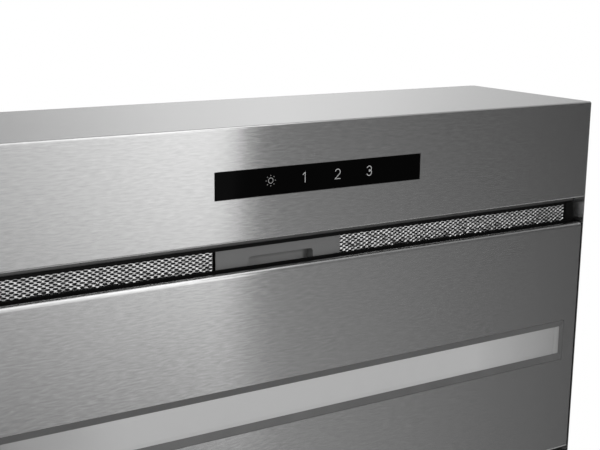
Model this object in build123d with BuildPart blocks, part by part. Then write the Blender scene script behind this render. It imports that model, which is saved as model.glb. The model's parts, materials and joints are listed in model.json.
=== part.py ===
"""Under cabinet range hood, 30 inch class, slot suction, one full width light bar, touch panel.

Frame: millimetres. +X is the hood's right as seen from the front, -Y is the front, +Z is up.
The origin is the centre of the four cabinet screw slots, on the upper face of the top panel.
"""

import os
from math import cos, radians, sin

from build123d import *

os.makedirs("parts", exist_ok=True)

# Driving dimensions -------------------------------------------------------------------------
WIDTH = 759.5                 # outside width of the hood
DEPTH = 508.0                 # front face to back face
HEIGHT = 216.0                # underside to the top panel
SHEET = 1.0                   # casing sheet thickness
BEND = 2.0                    # mid-line bend radius of the casing sheets
STRIP = 116.0                 # depth of the front strip of the underside
FRONT_SLOT = 31.0             # air slot between the front strip and the suction panel
REAR_RAIL = 36.0              # depth of the rear strip of the underside
REAR_SLOT = 31.0              # air slot between the suction panel and the rear strip
LIP = 14.0                    # height of the lips that stand up at the slots
FLANGE = 16.0                 # width of the inner joining flanges

FRONT_Y = -DEPTH / 2
BACK_Y = DEPTH / 2
BOTTOM_Z = -HEIGHT
INNER_X = WIDTH / 2 - SHEET
SLOT_FRONT_Y = FRONT_Y + STRIP
PANEL_FRONT_Y = SLOT_FRONT_Y + FRONT_SLOT
PANEL_REAR_Y = BACK_Y - REAR_RAIL - REAR_SLOT
PANEL_MID_Y = (PANEL_REAR_Y + PANEL_FRONT_Y) / 2
RAIL_Y = BACK_Y - REAR_RAIL

# Cabinet fixing, duct and cable inlet
SCREW_SPACING_X = 640.0
SCREW_SPACING_Y = 360.0
SCREW_SLOT = (14.0, 7.0)      # end to end length, width
DUCT_CENTRE = (0.0, 122.0)
DUCT_RADIUS = 75.0            # outside radius of the spigot, for a 6 inch round duct
DUCT_HEIGHT = 40.0
INLET_CENTRE = (-225.0, 196.0)
INLET_RADIUS = 11.1           # hole for a 7/8 inch conduit fitting

# Touch panel
GLASS = (250.0, 27.8, 3.0)
GLASS_GAP = 0.4
GLASS_Y = FRONT_Y + 57.2

# Suction panel and light bar
PANEL_WIDTH = 753.0
PANEL_BEND = 4.0              # mid-line bend radius of the panel's front and rear edges
TRAY_TOP_Z = BOTTOM_Z + 16.5
TRAY_EDGE = 1.2               # how far the tray's front flange stands out past the skin
PIVOT_Y = PANEL_REAR_Y - 5.5
PIVOT_Z = BOTTOM_Z + 9.0
PIVOT_RADIUS = 2.5
WINDOW = (715.0, 51.0)        # opening for the light bar, along X and Y
GLOW = (707.0, 34.0)          # visible part of the diffuser
BEZEL_DEPTH = 3.2
LED_BOARD_HALF = 348.0

# Filter and its handle
FILTER_BOTTOM_Z = BOTTOM_Z + 19.0
FILTER_HEIGHT = 10.0
FILTER_FRONT_Y = SLOT_FRONT_Y + 7.9
FILTER_REAR_Y = RAIL_Y - 12.0
FILTER_WIDTH = 737.4
FRAME_LIP = 3.4
FRAME_WALL = 0.8
HANDLE_LEFT_X = -114.7
HANDLE_RIGHT_X = 30.4
HANDLE_DEPTH = 50.0
HANDLE_STEP = 5.0             # raised step on the right of the handle plate
HANDLE_GAP = 3.3              # dark gap on its left
POCKET_LEFT_X = -77.2
POCKET_RIGHT_X = 1.0
POCKET_DEPTH = 12.5
POCKET_FRONT = 9.6            # handle plate edge to pocket
POCKET_LENGTH = 21.0
LATCH_TRAVEL = 6.0
LATCH_Z = FILTER_BOTTOM_Z + 4.0
LATCH_THICK = 3.0
TONGUE_WIDTH = 12.0
SPRING_ROOM = 12.0            # between the latch slider and the back of its cover
SPRING_COIL = 1.7             # mid-line radius of the latch springs
SPRING_WIRE = 0.25            # radius of their wire
SPRING_RISE = 2.0             # of each turn

# Blower
FAN_Y = 60.0
FAN_Z = -92.0
FAN_RADIUS = 68.0
BLADE_INNER = 54.0
FAN_HALF = 55.0
SCROLL_HALF = 59.0
SCROLL_START = 72.0
SCROLL_END = 98.0
CUTOFF_ANGLE = 50.0
TONGUE_SHIFT = 4.3            # degrees later that the wall's outer face starts, per mm of wall
OUTLET_LENGTH = 72.0
SHAFT_RADIUS = 4.0
RUNNING_GAP = 0.05
MOTOR_RADIUS = 42.0
MOTOR_FROM_X = -78.0
MOTOR_TO_X = -14.0

# Damper
FLAP_RADIUS = 71.4
FLAP_Z = 20.0
FLAP_PIN_RADIUS = 1.5
FLAP_PIN_OFFSET = 4.0

# Control box
BOX_LOW = (-300.0, 146.0)
BOX_HIGH = (-150.0, 236.0)
BOX_HEIGHT = 60.0


def save(piece, name):
    """Label a finished piece and write it as its own file."""
    piece.part.label = name
    export_step(piece.part, f"parts/{name}.step")


def block(low, high, mode=Mode.ADD):
    """Box between two corners, added to or cut from the open part."""
    size = [b - a for a, b in zip(low, high)]
    middle = [(a + b) / 2 for a, b in zip(low, high)]
    with Locations(tuple(middle)):
        Box(*size, mode=mode)


def rod_x(y, z, radius, x0, x1, mode=Mode.ADD):
    """Cylinder along X between two places."""
    with BuildSketch(Plane.YZ.offset(x0)) as circle:
        with Locations((y, z)):
            Circle(radius)
    extrude(circle.sketch, amount=x1 - x0, mode=mode)


def rod_z(x, y, radius, z0, z1, mode=Mode.ADD):
    """Cylinder along Z between two heights."""
    with BuildSketch(Plane.XY.offset(z0)) as circle:
        with Locations((x, y)):
            Circle(radius)
    extrude(circle.sketch, amount=z1 - z0, mode=mode)


def folded_sheet(points, half_width, radius=BEND):
    """Folded sheet: a mid-line in the YZ plane with rounded bends, carried along X."""
    with BuildSketch(Plane.YZ) as section:
        with BuildLine() as middle:
            FilletPolyline(*points, radius=radius)
        trace(line_width=SHEET)
    extrude(section.sketch, amount=half_width, both=True)


# Rivets that hold the top panel to the flanges below it
RIVET_STEP_X = 250.0
RIVET_STEP_Y = 150.0
SIDE_RIVETS = [(s * (INNER_X - FLANGE / 2), n * RIVET_STEP_Y) for s in (-1, 1) for n in (-1, 0, 1)]
FRONT_RIVETS = [(n * RIVET_STEP_X, FRONT_Y + FLANGE / 2 + SHEET) for n in (-1, 0, 1)]
REAR_RIVETS = [(n * RIVET_STEP_X, BACK_Y - FLANGE / 2 - SHEET) for n in (-1, 0, 1)]
RIVET_RADIUS = 2.0

# Casing -------------------------------------------------------------------------------------
half_sheet = SHEET / 2
flange_z = -SHEET - half_sheet
with BuildPart() as front_wrap:
    folded_sheet(
        [
            (FRONT_Y + FLANGE, flange_z),
            (FRONT_Y + half_sheet, flange_z),
            (FRONT_Y + half_sheet, BOTTOM_Z + half_sheet),
            (SLOT_FRONT_Y - half_sheet, BOTTOM_Z + half_sheet),
            (SLOT_FRONT_Y - half_sheet, BOTTOM_Z + LIP),
        ],
        INNER_X - 0.05,
    )
    glass_hole = (GLASS[0] + 2 * GLASS_GAP, GLASS[1] + 2 * GLASS_GAP, 4 * SHEET)
    with Locations((0, GLASS_Y, BOTTOM_Z)):
        Box(*glass_hole, mode=Mode.SUBTRACT)
    for x, y in FRONT_RIVETS:
        rod_z(x, y, RIVET_RADIUS, -3 * SHEET, 0, Mode.SUBTRACT)
save(front_wrap, "front_wrap")

with BuildPart() as back_wrap:
    folded_sheet(
        [
            (BACK_Y - FLANGE, flange_z),
            (BACK_Y - half_sheet, flange_z),
            (BACK_Y - half_sheet, BOTTOM_Z + half_sheet),
            (RAIL_Y + half_sheet, BOTTOM_Z + half_sheet),
            (RAIL_Y + half_sheet, BOTTOM_Z + LIP),
        ],
        INNER_X - 0.05,
    )
    for x, y in REAR_RIVETS:
        rod_z(x, y, RIVET_RADIUS, -3 * SHEET, 0, Mode.SUBTRACT)
save(back_wrap, "back_wrap")

CORNER = BEND + half_sheet
for side_name, side in (("left", -1), ("right", 1)):
    wall_low = min(side * INNER_X, side * WIDTH / 2)
    wall_high = max(side * INNER_X, side * WIDTH / 2)
    flange_low = min(side * INNER_X, side * (INNER_X - FLANGE))
    flange_high = max(side * INNER_X, side * (INNER_X - FLANGE))
    with BuildPart() as side_panel:
        with BuildSketch(Plane.YZ.offset(wall_low)):
            with Locations((0, (BOTTOM_Z - SHEET) / 2)):
                RectangleRounded(DEPTH, HEIGHT - SHEET, CORNER)
        extrude(amount=wall_high - wall_low)
        top_run = BACK_Y - FLANGE - 2.0
        block((flange_low, -top_run, -2 * SHEET), (flange_high, top_run, -SHEET))
        for face_y in (FRONT_Y + SHEET + 0.1, BACK_Y - 2 * SHEET - 0.1):
            block(
                (flange_low, face_y, BOTTOM_Z + LIP + 2.0),
                (flange_high, face_y + SHEET, -FLANGE),
            )
        rod_x(PIVOT_Y, PIVOT_Z, PIVOT_RADIUS, wall_low - 1, wall_high + 1, Mode.SUBTRACT)
        for x, y in SIDE_RIVETS:
            if x * side > 0:
                rod_z(x, y, RIVET_RADIUS, -3 * SHEET, 0, Mode.SUBTRACT)
    save(side_panel, f"side_panel_{side_name}")

with BuildPart() as top_panel:
    with BuildSketch(Plane.XY.offset(-SHEET)):
        RectangleRounded(WIDTH - 0.5, DEPTH - 0.5, CORNER)
        with Locations(DUCT_CENTRE):
            Circle(DUCT_RADIUS - 2.0, mode=Mode.SUBTRACT)
        with Locations(INLET_CENTRE):
            Circle(INLET_RADIUS, mode=Mode.SUBTRACT)
        with GridLocations(SCREW_SPACING_X, SCREW_SPACING_Y, 2, 2):
            SlotOverall(*SCREW_SLOT, mode=Mode.SUBTRACT)
        with Locations(*SIDE_RIVETS, *FRONT_RIVETS, *REAR_RIVETS):
            Circle(RIVET_RADIUS, mode=Mode.SUBTRACT)
    extrude(amount=SHEET)
save(top_panel, "top_panel")

with BuildPart() as body_rivets:
    for x, y in SIDE_RIVETS + FRONT_RIVETS + REAR_RIVETS:
        rod_z(x, y, RIVET_RADIUS, -2 * SHEET, -0.05)
        rod_z(x, y, 2 * RIVET_RADIUS, -3.2 * SHEET, -2 * SHEET)
save(body_rivets, "body_rivets")

# Filter rails inside the underside ------------------------------------------------------------
ledge_z = BOTTOM_Z + 17.0
ledge_edge_y = FILTER_FRONT_Y - 0.5
tongue_centres = (HANDLE_LEFT_X + 14.0, HANDLE_RIGHT_X - 14.0)
RAIL_LENGTH = INNER_X - 1.0
with BuildPart() as filter_rail_front:
    foot_z = BOTTOM_Z + SHEET + half_sheet
    folded_sheet(
        [
            (SLOT_FRONT_Y - 32.0, foot_z),
            (SLOT_FRONT_Y - 16.0, foot_z),
            (SLOT_FRONT_Y - 16.0, ledge_z + half_sheet),
            (ledge_edge_y - half_sheet, ledge_z + half_sheet),
            (ledge_edge_y - half_sheet, ledge_z + 15.0),
        ],
        RAIL_LENGTH,
        radius=1.0,
    )
    for x in tongue_centres:
        half = TONGUE_WIDTH / 2 + 0.4
        block(
            (x - half, ledge_edge_y - 3.0, LATCH_Z - 0.4),
            (x + half, ledge_edge_y + 1.0, LATCH_Z + LATCH_THICK + 0.4),
            Mode.SUBTRACT,
        )
save(filter_rail_front, "filter_rail_front")

with BuildPart() as filter_rail_rear:
    shelf_z = FILTER_BOTTOM_Z - half_sheet - 0.1
    folded_sheet(
        [
            (FILTER_REAR_Y - 10.0, shelf_z),
            (RAIL_Y + 1.5, shelf_z),
            (RAIL_Y + 1.5, FILTER_BOTTOM_Z + 16.0),
            (BACK_Y - SHEET - half_sheet - 0.1, FILTER_BOTTOM_Z + 16.0),
            (BACK_Y - SHEET - half_sheet - 0.1, FILTER_BOTTOM_Z + 34.0),
        ],
        INNER_X - FLANGE - 2.0,
        radius=1.0,
    )
save(filter_rail_rear, "filter_rail_rear")

side_ledge_low = FILTER_BOTTOM_Z - 0.9
for side_name, side in (("left", -1), ("right", 1)):
    upright = sorted((side * INNER_X, side * (INNER_X - SHEET)))
    ledge = sorted((side * INNER_X, side * (FILTER_WIDTH / 2 - 1.5)))
    with BuildPart() as filter_rail_side:
        block(
            (upright[0], FILTER_FRONT_Y, side_ledge_low),
            (upright[1], FILTER_REAR_Y, FILTER_BOTTOM_Z + FILTER_HEIGHT),
        )
        block(
            (ledge[0], FILTER_FRONT_Y, side_ledge_low),
            (ledge[1], FILTER_REAR_Y, FILTER_BOTTOM_Z - 0.1),
        )
    save(filter_rail_side, f"filter_rail_{side_name}")

# Touch panel ----------------------------------------------------------------------------------
with BuildPart() as touch_glass:
    with BuildSketch(Plane.XY.offset(BOTTOM_Z)):
        with Locations((0, GLASS_Y)):
            RectangleRounded(GLASS[0], GLASS[1], 0.6)
    extrude(amount=GLASS[2])
    chamfer(touch_glass.faces().sort_by(Axis.Z)[0].edges(), length=0.3)
save(touch_glass, "touch_glass")

CARRIER = (268.0, 44.0, 10.0)
STUD_STEP_X = 128.0
STUD_HALF_Y = 18.8
stud_centres = [
    (n * STUD_STEP_X, GLASS_Y + s * STUD_HALF_Y) for n in (-1, 0, 1) for s in (-1, 1)
]
with BuildPart() as touch_carrier:
    carrier_low = BOTTOM_Z + SHEET
    block(
        (-CARRIER[0] / 2, GLASS_Y - CARRIER[1] / 2, carrier_low),
        (CARRIER[0] / 2, GLASS_Y + CARRIER[1] / 2, carrier_low + CARRIER[2]),
    )
    glass_half = (GLASS[0] / 2 + 0.1, GLASS[1] / 2 + 0.1)
    block(
        (-glass_half[0], GLASS_Y - glass_half[1], carrier_low),
        (glass_half[0], GLASS_Y + glass_half[1], BOTTOM_Z + GLASS[2]),
        Mode.SUBTRACT,
    )
    block(
        (-glass_half[0] + 3, GLASS_Y - glass_half[1] + 3, BOTTOM_Z + GLASS[2] + 1),
        (glass_half[0] - 3, GLASS_Y + glass_half[1] - 3, carrier_low + CARRIER[2]),
        Mode.SUBTRACT,
    )
    flange_top = carrier_low + 2.0
    for sign in (-1, 1):
        edge = GLASS_Y + sign * CARRIER[1] / 2
        inner = GLASS_Y + sign * (GLASS[1] / 2 + 1.2)
        block(
            (-CARRIER[0] / 2, min(edge, inner), flange_top),
            (CARRIER[0] / 2, max(edge, inner), carrier_low + CARRIER[2]),
            Mode.SUBTRACT,
        )
    for x, y in stud_centres:
        rod_z(x, y, 1.6, carrier_low, flange_top, Mode.SUBTRACT)
save(touch_carrier, "touch_carrier")

with BuildPart() as carrier_studs:
    for x, y in stud_centres:
        rod_z(x, y, 1.5, carrier_low, flange_top + 5.0)
save(carrier_studs, "carrier_studs")

with BuildPart() as carrier_nuts:
    for x, y in stud_centres:
        with BuildSketch(Plane.XY.offset(flange_top)):
            with Locations((x, y)):
                RegularPolygon(2.75, 6, major_radius=False)
                Circle(1.5, mode=Mode.SUBTRACT)
        extrude(amount=2.4)
save(carrier_nuts, "carrier_nuts")

with BuildPart() as touch_board:
    board_z = BOTTOM_Z + GLASS[2] + 1
    block((-120.0, GLASS_Y - 10.5, board_z), (120.0, GLASS_Y + 10.5, board_z + 1.6))
    for x in (-90.0, -30.0, 30.0, 90.0):
        block((x - 6, GLASS_Y - 5, board_z + 1.6), (x + 6, GLASS_Y + 5, board_z + 3.2))
    block((104.0, GLASS_Y - 6, board_z + 1.6), (114.0, GLASS_Y + 6, board_z + 7.0))
save(touch_board, "touch_board")

# Suction panel with its light bar ---------------------------------------------------------------
with BuildPart() as panel_skin:
    lip_top = BOTTOM_Z + PANEL_BEND + 2.0
    folded_sheet(
        [
            (PANEL_FRONT_Y + half_sheet, lip_top),
            (PANEL_FRONT_Y + half_sheet, BOTTOM_Z + half_sheet),
            (PANEL_REAR_Y - half_sheet, BOTTOM_Z + half_sheet),
            (PANEL_REAR_Y - half_sheet, lip_top),
        ],
        PANEL_WIDTH / 2,
        radius=PANEL_BEND,
    )
    with Locations((0, PANEL_MID_Y, BOTTOM_Z)):
        Box(WINDOW[0], WINDOW[1], 4 * SHEET, mode=Mode.SUBTRACT)
save(panel_skin, "panel_skin")

tray_half_x = PANEL_WIDTH / 2 - 0.8
tray_front_y = PANEL_FRONT_Y + SHEET + 0.6
tray_rear_y = PANEL_REAR_Y - SHEET - 0.6
tray_floor_z = BOTTOM_Z + SHEET
PANEL_RIVET_X = 330.0
PANEL_RIVET_Y = 110.0
STIFFENER_Y = 75.0            # stiffening channels, each way from the panel's middle
panel_rivet_points = [
    (n * PANEL_RIVET_X, PANEL_MID_Y + s * PANEL_RIVET_Y) for n in (-1, 0, 1) for s in (-1, 1)
]
with BuildPart() as panel_tray:
    block((-tray_half_x, tray_front_y, tray_floor_z), (tray_half_x, tray_rear_y, TRAY_TOP_Z))
    fillet(panel_tray.faces().sort_by(Axis.Z)[0].edges(), radius=PANEL_BEND - 0.6)
    offset(amount=-SHEET, openings=panel_tray.faces().sort_by(Axis.Z)[-1])
    with Locations((0, PANEL_MID_Y, tray_floor_z)):
        Box(WINDOW[0], WINDOW[1], 4 * SHEET, mode=Mode.SUBTRACT)
    rod_x(PIVOT_Y, PIVOT_Z, PIVOT_RADIUS + RUNNING_GAP, -tray_half_x, tray_half_x, Mode.SUBTRACT)
    for y in (PANEL_MID_Y - STIFFENER_Y, PANEL_MID_Y + STIFFENER_Y):
        for sign in (-1, 1):
            block(
                (-tray_half_x + 12, y + sign * 9 - 0.5, tray_floor_z + SHEET),
                (tray_half_x - 12, y + sign * 9 + 0.5, tray_floor_z + 10),
            )
        block(
            (-tray_half_x + 12, y - 9.5, tray_floor_z + 9),
            (tray_half_x - 12, y + 9.5, tray_floor_z + 10),
        )
    block(
        (-tray_half_x, PANEL_FRONT_Y - TRAY_EDGE, TRAY_TOP_Z - SHEET),
        (tray_half_x, tray_front_y + SHEET, TRAY_TOP_Z),
    )
    for x, y in panel_rivet_points:
        rod_z(x, y, 1.5, tray_floor_z - 1, tray_floor_z + SHEET + 1, Mode.SUBTRACT)
save(panel_tray, "panel_tray")

with BuildPart() as panel_rivets:
    for x, y in panel_rivet_points:
        rod_z(x, y, 1.5, tray_floor_z, tray_floor_z + SHEET)
        rod_z(x, y, 3.0, tray_floor_z + SHEET, tray_floor_z + SHEET + 1.2)
save(panel_rivets, "panel_rivets")

with BuildPart() as hinge_pins:
    for side in (-1, 1):
        ends = sorted((side * (tray_half_x - 5.0), side * (WIDTH / 2 - 0.3)))
        rod_x(PIVOT_Y, PIVOT_Z, PIVOT_RADIUS, *ends)
        washer = sorted((side * (tray_half_x + 0.4), side * INNER_X))
        rod_x(PIVOT_Y, PIVOT_Z, 4.5, *washer)
save(hinge_pins, "hinge_pins")

CATCH_Y = PANEL_FRONT_Y + 22.0
CATCH_Z = TRAY_TOP_Z - 6.0
with BuildPart() as catch_springs:
    for side in (-1, 1):
        leaf = sorted((side * (INNER_X - 0.6), side * INNER_X))
        block((leaf[0], CATCH_Y - 14, CATCH_Z - 5), (leaf[1], CATCH_Y + 14, CATCH_Z + 5))
        with BuildSketch(Plane.XY.offset(CATCH_Z - 4)):
            with BuildLine():
                base_x = side * (INNER_X - 0.6)
                tip_x = side * (tray_half_x + 0.35)
                ThreePointArc((base_x, CATCH_Y - 8), (tip_x, CATCH_Y), (base_x, CATCH_Y + 8))
                Line((base_x, CATCH_Y + 8), (base_x, CATCH_Y - 8))
            make_face()
        extrude(amount=8)
save(catch_springs, "catch_springs")

glow_z = BOTTOM_Z + BEZEL_DEPTH
with BuildPart() as light_bezel:
    bezel_outer = (WINDOW[0] - 0.6, WINDOW[1] - 0.6)
    with BuildSketch(Plane.XY.offset(BOTTOM_Z)):
        with Locations((0, PANEL_MID_Y)):
            RectangleRounded(*bezel_outer, 2.0)
    extrude(amount=BEZEL_DEPTH)
    with BuildSketch(Plane.XY.offset(BOTTOM_Z)):
        with Locations((0, PANEL_MID_Y)):
            RectangleRounded(bezel_outer[0] - 0.8, bezel_outer[1] - 0.8, 1.6)
    with BuildSketch(Plane.XY.offset(glow_z)):
        with Locations((0, PANEL_MID_Y)):
            RectangleRounded(*GLOW, 1.0)
    loft(mode=Mode.SUBTRACT)
save(light_bezel, "light_bezel")

with BuildPart() as light_diffuser:
    with BuildSketch(Plane.XY.offset(glow_z)):
        with Locations((0, PANEL_MID_Y)):
            RectangleRounded(GLOW[0] + 4, GLOW[1] + 4, 1.5)
    extrude(amount=2.0)
save(light_diffuser, "light_diffuser")

HOUSING_TOP_Z = BOTTOM_Z + 15.0
housing_flange_z = tray_floor_z + SHEET + 2.2
light_screw_points = [(x, PANEL_MID_Y + s * 34) for x in (-300.0, -100.0, 100.0, 300.0) for s in (-1, 1)]
with BuildPart() as light_housing:
    housing_half = (bezel_outer[0] / 2, bezel_outer[1] / 2)
    block(
        (-housing_half[0], PANEL_MID_Y - housing_half[1], glow_z),
        (housing_half[0], PANEL_MID_Y + housing_half[1], HOUSING_TOP_Z),
    )
    for sign in (-1, 1):
        edges = sorted((PANEL_MID_Y + sign * housing_half[1], PANEL_MID_Y + sign * 39))
        block(
            (-housing_half[0], edges[0], tray_floor_z + SHEET + 0.05),
            (housing_half[0], edges[1], housing_flange_z),
        )
    block(
        (-GLOW[0] / 2 - 2.2, PANEL_MID_Y - GLOW[1] / 2 - 2.2, glow_z),
        (GLOW[0] / 2 + 2.2, PANEL_MID_Y + GLOW[1] / 2 + 2.2, HOUSING_TOP_Z - 1.2),
        Mode.SUBTRACT,
    )
    for x, y in light_screw_points:
        rod_z(x, y, 1.5, tray_floor_z, tray_floor_z + 4, Mode.SUBTRACT)
save(light_housing, "light_housing")

with BuildPart() as light_screws:
    for x, y in light_screw_points:
        rod_z(x, y, 1.45, tray_floor_z + SHEET + 0.1, housing_flange_z)
        rod_z(x, y, 2.8, housing_flange_z, housing_flange_z + 1.6)
save(light_screws, "light_screws")

with BuildPart() as led_board:
    led_z = HOUSING_TOP_Z - 1.2 - 1.6
    block(
        (-LED_BOARD_HALF, PANEL_MID_Y - 8, led_z),
        (LED_BOARD_HALF, PANEL_MID_Y + 8, led_z + 1.6),
    )
    with Locations((0, PANEL_MID_Y, led_z - 0.4)):
        with GridLocations(20.0, 8.0, 35, 1):
            Box(3.5, 2.8, 0.8)
save(led_board, "led_board")

# Filter -------------------------------------------------------------------------------------------
filter_top_z = FILTER_BOTTOM_Z + FILTER_HEIGHT
filter_half = FILTER_WIDTH / 2
cut_left = HANDLE_LEFT_X - HANDLE_GAP
cut_right = HANDLE_RIGHT_X + HANDLE_STEP
cut_rear = FILTER_FRONT_Y + FRAME_LIP + HANDLE_DEPTH
with BuildPart() as filter_frame:
    block((-filter_half, FILTER_FRONT_Y, FILTER_BOTTOM_Z), (filter_half, FILTER_REAR_Y, filter_top_z))
    block(
        (-filter_half + FRAME_WALL, FILTER_FRONT_Y + FRAME_WALL, FILTER_BOTTOM_Z + FRAME_WALL),
        (filter_half - FRAME_WALL, FILTER_REAR_Y - FRAME_WALL, filter_top_z - FRAME_WALL),
        Mode.SUBTRACT,
    )
    block(
        (-filter_half + FRAME_LIP, FILTER_FRONT_Y + FRAME_LIP, FILTER_BOTTOM_Z - 1),
        (filter_half - FRAME_LIP, FILTER_REAR_Y - FRAME_LIP, filter_top_z + 1),
        Mode.SUBTRACT,
    )
    for x in tongue_centres:
        half = TONGUE_WIDTH / 2 + 0.3
        block(
            (x - half, FILTER_FRONT_Y - 1, LATCH_Z - 0.3),
            (x + half, FILTER_FRONT_Y + FRAME_LIP + 1, LATCH_Z + LATCH_THICK + 0.3),
            Mode.SUBTRACT,
        )
save(filter_frame, "filter_frame")

mesh_half = filter_half - FRAME_WALL - 0.05
mesh_front = FILTER_FRONT_Y + FRAME_WALL + 0.05
mesh_rear = FILTER_REAR_Y - FRAME_WALL - 0.05
mesh_layers = (
    ("filter_mesh_lower", (FRAME_WALL + 0.05,), 0.5),
    ("filter_mesh_core", (2.6, 4.7, 6.8), 0.4),
    ("filter_mesh_upper", (FILTER_HEIGHT - FRAME_WALL - 0.55,), 0.5),
)
for name, heights, thick in mesh_layers:
    with BuildPart() as mesh_layer:
        for height in heights:
            low_z = FILTER_BOTTOM_Z + height
            block((-mesh_half, mesh_front, low_z), (mesh_half, mesh_rear, low_z + thick))
            block(
                (cut_left, mesh_front - 1, low_z - 0.1),
                (cut_right, cut_rear, low_z + thick + 0.1),
                Mode.SUBTRACT,
            )
    save(mesh_layer, name)

plate_front = FILTER_FRONT_Y + FRAME_LIP + 0.1
plate_rear = cut_rear - 0.2
pocket_front = plate_front + POCKET_FRONT
pocket_rear = pocket_front + POCKET_LENGTH
pocket_top = FILTER_BOTTOM_Z + POCKET_DEPTH
tab_half = 16.0
tab_x = (POCKET_LEFT_X + POCKET_RIGHT_X) / 2
with BuildPart() as handle_plate:
    block(
        (HANDLE_LEFT_X, plate_front, FILTER_BOTTOM_Z),
        (HANDLE_RIGHT_X, plate_rear, FILTER_BOTTOM_Z + SHEET),
    )
    block(
        (HANDLE_RIGHT_X, plate_front, FILTER_BOTTOM_Z + 0.5),
        (cut_right - 0.3, plate_rear, FILTER_BOTTOM_Z + 0.5 + SHEET),
    )
    block(
        (HANDLE_RIGHT_X - 1.0, plate_front, FILTER_BOTTOM_Z + 0.5),
        (HANDLE_RIGHT_X + 0.5, plate_rear, FILTER_BOTTOM_Z + SHEET),
    )
    pocket_centre = (tab_x, (pocket_front + pocket_rear) / 2)
    pocket_size = (POCKET_RIGHT_X - POCKET_LEFT_X, POCKET_LENGTH)
    with BuildSketch(Plane.XY.offset(FILTER_BOTTOM_Z + SHEET)):
        with Locations(pocket_centre):
            RectangleRounded(pocket_size[0] + 2 * SHEET, pocket_size[1] + 2 * SHEET, 5.0)
    extrude(amount=POCKET_DEPTH)
    with BuildSketch(Plane.XY.offset(FILTER_BOTTOM_Z)):
        with Locations(pocket_centre):
            RectangleRounded(*pocket_size, 4.0)
    extrude(amount=POCKET_DEPTH, mode=Mode.SUBTRACT)
    block(
        (tab_x - tab_half - 0.4, pocket_rear - 1, LATCH_Z - 0.4),
        (tab_x + tab_half + 0.4, pocket_rear + 2, LATCH_Z + LATCH_THICK + 0.4),
        Mode.SUBTRACT,
    )
save(handle_plate, "handle_plate")

cover_top = pocket_top + SHEET + 1.6
with BuildPart() as latch_cover:
    block(
        (cut_left + 0.2, plate_front + 1.0, FILTER_BOTTOM_Z + 2.0),
        (cut_right - 0.3, plate_rear, cover_top),
    )
    block(
        (cut_left + 1.0, plate_front, FILTER_BOTTOM_Z + 1.0),
        (cut_right - 1.1, plate_rear - 0.8, cover_top - 0.8),
        Mode.SUBTRACT,
    )
save(latch_cover, "latch_cover")

bar_rear = plate_rear - 0.8 - SPRING_ROOM
bar_front = bar_rear - 4.0
with BuildPart() as latch_slider:
    block(
        (tongue_centres[0] - TONGUE_WIDTH / 2, bar_front, LATCH_Z),
        (tongue_centres[1] + TONGUE_WIDTH / 2, bar_rear, LATCH_Z + LATCH_THICK),
    )
    for x in tongue_centres:
        block(
            (x - TONGUE_WIDTH / 2, FILTER_FRONT_Y - LATCH_TRAVEL, LATCH_Z),
            (x + TONGUE_WIDTH / 2, bar_front + 1, LATCH_Z + LATCH_THICK),
        )
        rod_y_plane = Plane.XZ.offset(-bar_rear)
        with BuildSketch(rod_y_plane):
            with Locations((x, LATCH_Z + LATCH_THICK / 2)):
                Circle(1.0)
        extrude(amount=-3.0)
    block(
        (tab_x - tab_half, pocket_rear - 6.5, LATCH_Z),
        (tab_x + tab_half, bar_front + 1, LATCH_Z + LATCH_THICK),
    )
    front_edges = latch_slider.faces().sort_by(Axis.Y)[0:2].edges().filter_by(Axis.Z)
    fillet(front_edges, radius=2.0)
save(latch_slider, "latch_slider")

spring_gap = SPRING_WIRE + 0.05
helix_length = SPRING_ROOM - 2 * spring_gap
with BuildPart() as latch_springs:
    for x in tongue_centres:
        start = (x, bar_rear + spring_gap, LATCH_Z + LATCH_THICK / 2)
        with BuildLine():
            coil = Helix(
                pitch=SPRING_RISE,
                height=helix_length,
                radius=SPRING_COIL,
                center=start,
                direction=(0, 1, 0),
            )
        with BuildSketch(Plane(origin=coil @ 0, z_dir=coil % 0)):
            Circle(SPRING_WIRE)
        sweep()
save(latch_springs, "latch_springs")

# Blower -------------------------------------------------------------------------------------------
def scroll_point(angle, grow):
    """Point of the scroll's wall, which grows evenly with the angle from the cut-off."""
    share = (angle - CUTOFF_ANGLE) / (360.0 - CUTOFF_ANGLE)
    reach = SCROLL_START + (SCROLL_END - SCROLL_START) * share + grow
    return (FAN_Y + reach * cos(radians(angle)), FAN_Z + reach * sin(radians(angle)))


def scroll_sketch(plane, grow, top_z):
    """Face bounded by the scroll's wall, grown outwards, open into the outlet at top_z."""
    steps = 10
    start = CUTOFF_ANGLE + TONGUE_SHIFT * grow
    angles = [start + (360.0 - start) * i / steps for i in range(steps + 1)]
    with BuildSketch(plane) as sketch:
        with BuildLine():
            wall = Spline(*[scroll_point(angle, grow) for angle in angles])
            outer = Line(wall @ 1, (FAN_Y + SCROLL_END + grow, top_z))
            outlet = Line(outer @ 1, (FAN_Y + SCROLL_END - OUTLET_LENGTH - grow, top_z))
            Line(outlet @ 1, wall @ 0)
        make_face()
    return sketch


outlet_top = -SHEET - 0.05
with BuildPart() as scroll_wrapper:
    outside = scroll_sketch(Plane.YZ, SHEET, outlet_top)
    extrude(outside.sketch, amount=SCROLL_HALF, both=True)
    inside = scroll_sketch(Plane.YZ, 0.0, outlet_top)
    extrude(inside.sketch, amount=SCROLL_HALF, both=True, mode=Mode.SUBTRACT)
    for y0, y1 in (
        (FAN_Y + SCROLL_END, FAN_Y + SCROLL_END + 12),
        (FAN_Y + SCROLL_END - OUTLET_LENGTH - 12, FAN_Y + SCROLL_END - OUTLET_LENGTH),
    ):
        block((-SCROLL_HALF, y0, outlet_top - 1), (SCROLL_HALF, y1, outlet_top))
save(scroll_wrapper, "scroll_wrapper")

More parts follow.
